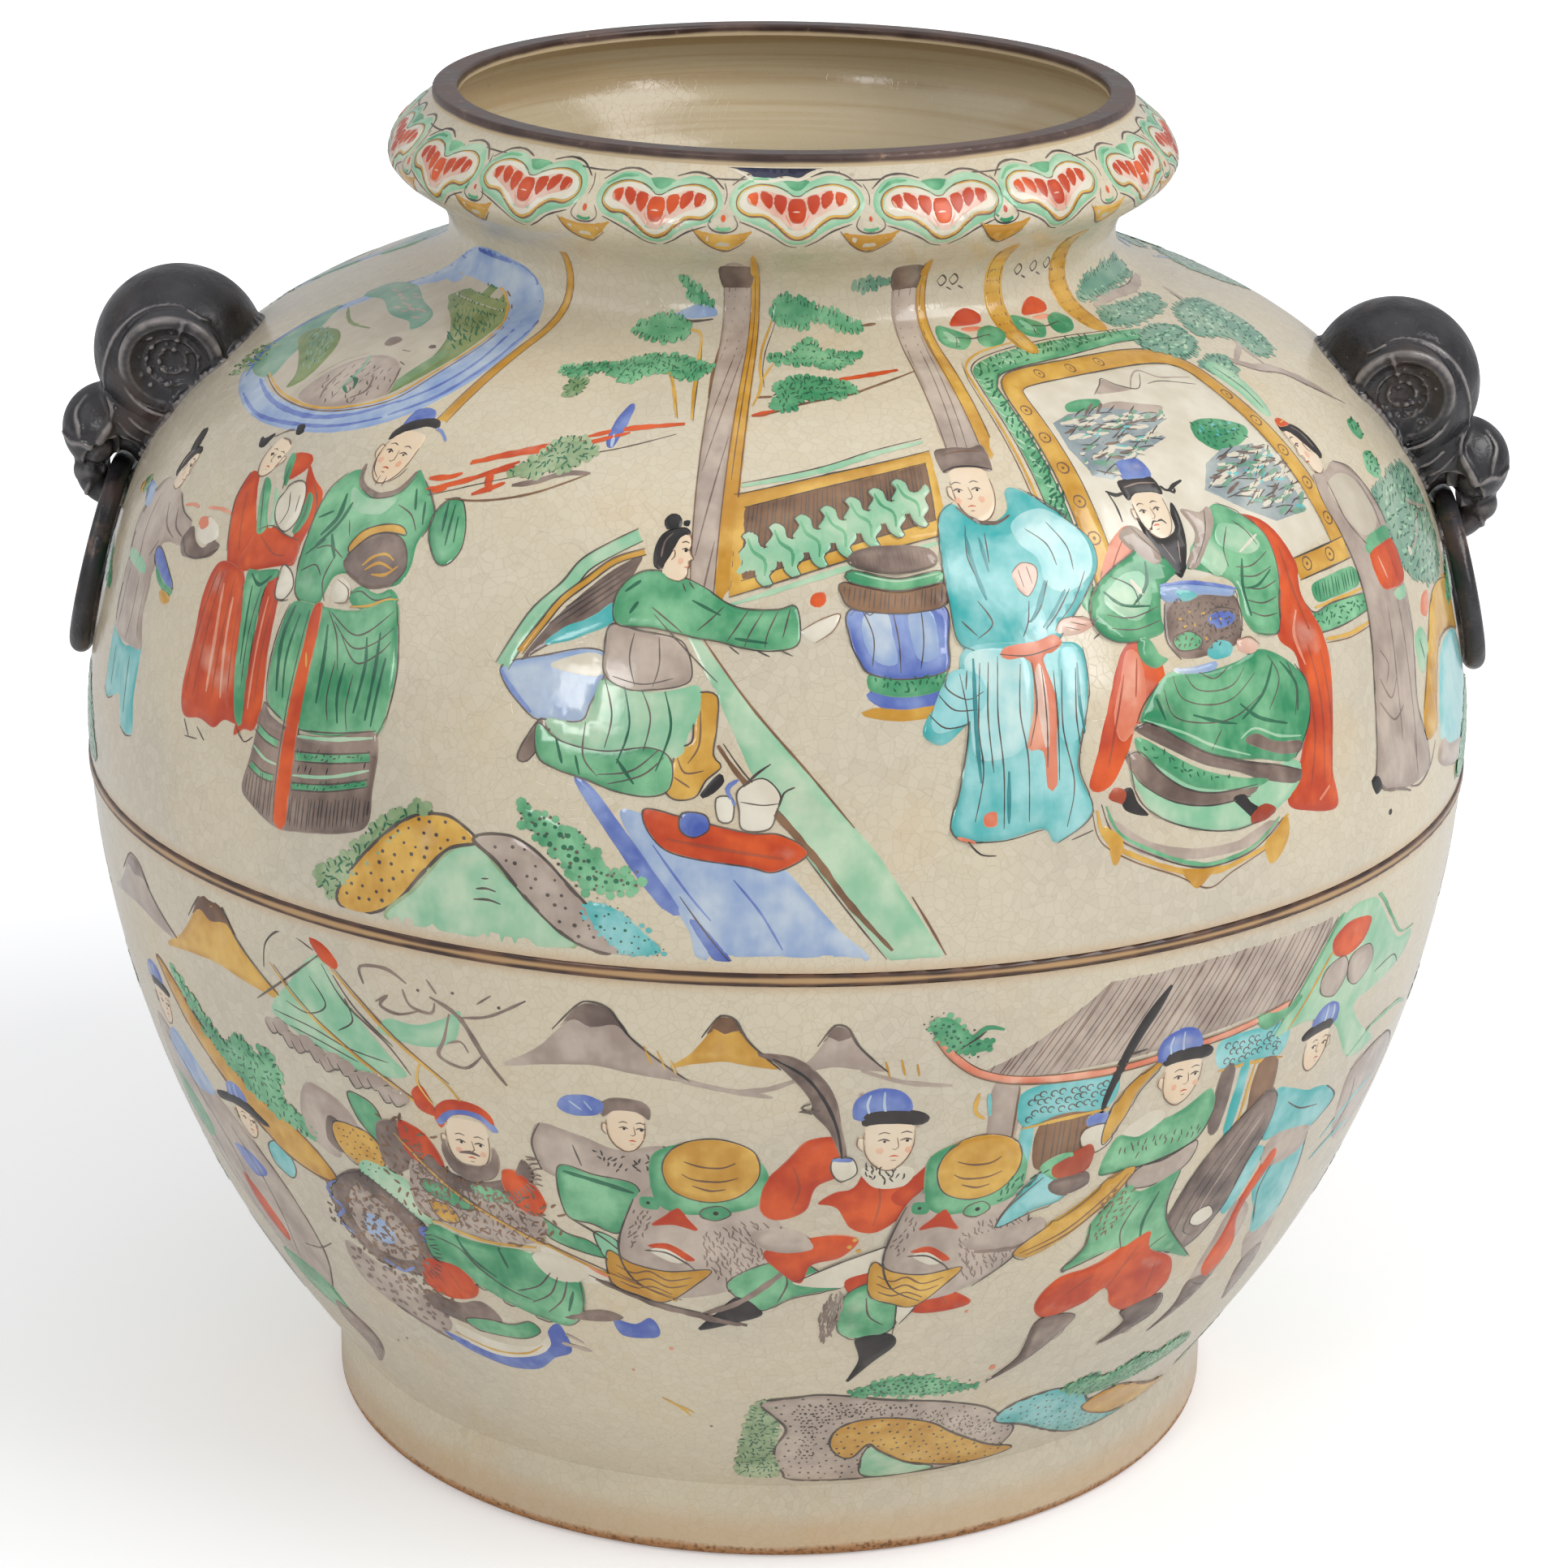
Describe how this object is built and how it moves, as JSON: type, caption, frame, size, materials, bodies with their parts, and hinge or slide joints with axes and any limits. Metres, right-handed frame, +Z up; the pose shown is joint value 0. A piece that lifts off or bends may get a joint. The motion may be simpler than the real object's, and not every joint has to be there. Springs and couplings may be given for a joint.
{
  "type": "stoneware jar",
  "caption": "Wide glazed stoneware jar with a low foot, a bulging collar, a flat dark lip and two mask lugs that hold loose rings.",
  "frame": {"origin": "centre of the foot on the surface that the jar stands on", "axes": "+Z up along the jar's axis, the two lugs on the X axis, the front view looks along +Y"},
  "size_m": [0.3442, 0.331, 0.3254],
  "materials": {
    "crackle_glaze": "glossy crackled glaze with coloured enamels",
    "foot_glaze": "glossy crackled glaze, bare burnt edge underneath",
    "brown_dressing": "dark brown dressing, satin",
    "lug_dressing": "brown-black dressing, satin with worn highlights"
  },
  "bodies": {
    "jar": {"foot_ring": "foot_glaze", "lower_body": "crackle_glaze", "waist_band": "brown_dressing", "shoulder": "crackle_glaze", "neck_collar": "crackle_glaze", "rim_lip": "brown_dressing", "left_head": "lug_dressing", "left_ear_front": "lug_dressing", "left_ear_back": "lug_dressing", "left_snout": "lug_dressing", "left_trunk": "lug_dressing", "right_head": "lug_dressing", "right_ear_front": "lug_dressing", "right_ear_back": "lug_dressing", "right_snout": "lug_dressing", "right_trunk": "lug_dressing"},
    "left_ring": {"left_ring": "lug_dressing"},
    "right_ring": {"right_ring": "lug_dressing"}
  },
  "joints": [
    {"name": "left_ring_lift", "type": "hinge", "parent": "jar", "child": "left_ring", "pos_m": [-0.15646, 0, 0.23262], "axis": [0, 1, 0], "range_deg": [0, 150]},
    {"name": "right_ring_lift", "type": "hinge", "parent": "jar", "child": "right_ring", "pos_m": [0.15837, 0, 0.22802], "axis": [0, -1, 0], "range_deg": [0, 150]}
  ]
}
